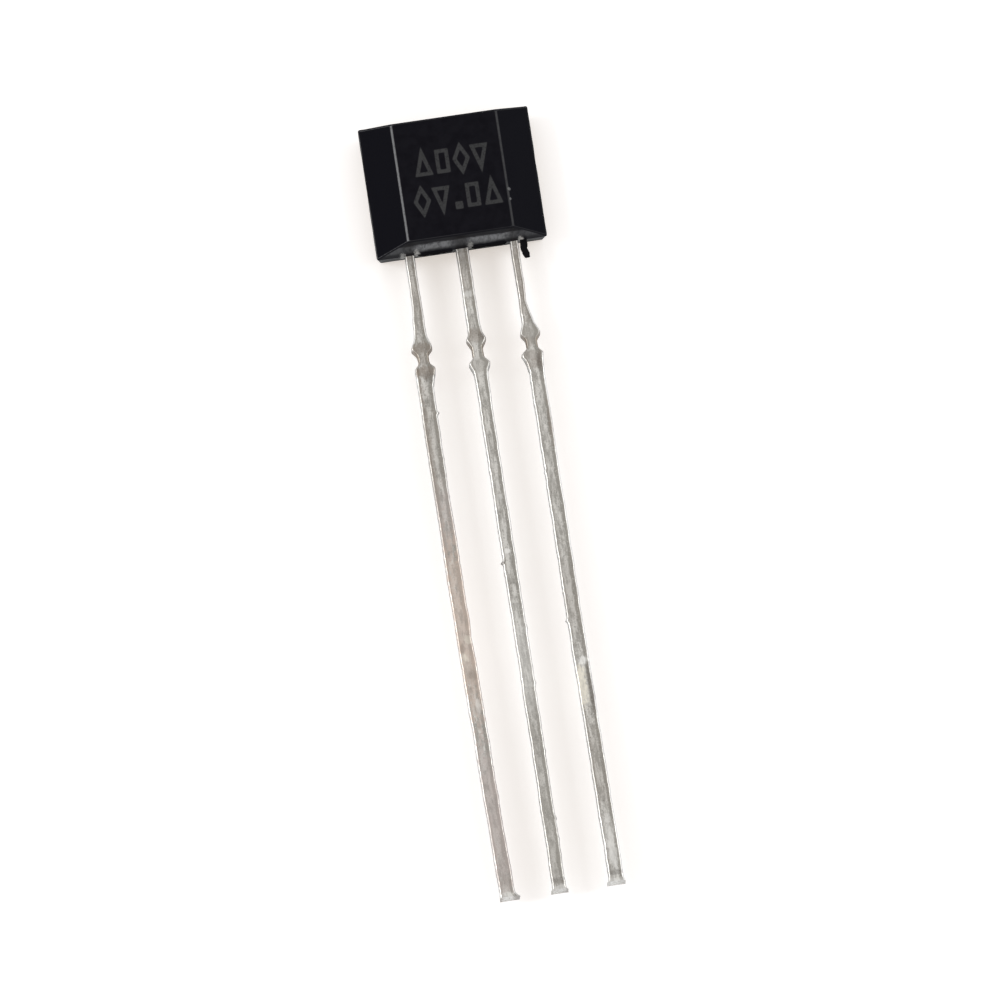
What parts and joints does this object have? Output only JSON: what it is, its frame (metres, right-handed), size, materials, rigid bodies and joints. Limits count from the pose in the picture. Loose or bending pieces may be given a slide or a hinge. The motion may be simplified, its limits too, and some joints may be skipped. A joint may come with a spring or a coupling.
{
  "type": "hall effect sensor",
  "caption": "Through-hole Hall effect sensor: a small bevelled black moulded body on a row of long, flat, straight tinned leads with cut dam-bar stubs.",
  "frame": {"origin": "centre of the flat back face of the moulded body", "axes": "+Z out of the marked face, -Y along the leads from the body to their tips, +X across the row from the supply lead to the output lead"},
  "size_m": [0.004, 0.0185, 0.0015],
  "materials": {
    "moulding_compound": "satin",
    "tinned_lead": "satin",
    "silver_epoxy": "matte",
    "silicon": "polished",
    "gold_wire": "polished"
  },
  "bodies": {
    "root": {"body": "moulding_compound", "lead_supply": "tinned_lead", "lead_ground": "tinned_lead", "lead_output": "tinned_lead", "die_attach": "silver_epoxy", "sensor_die": "silicon", "bond_wire_supply": "gold_wire", "bond_wire_ground": "gold_wire", "bond_wire_output": "gold_wire"}
  },
  "joints": []
}
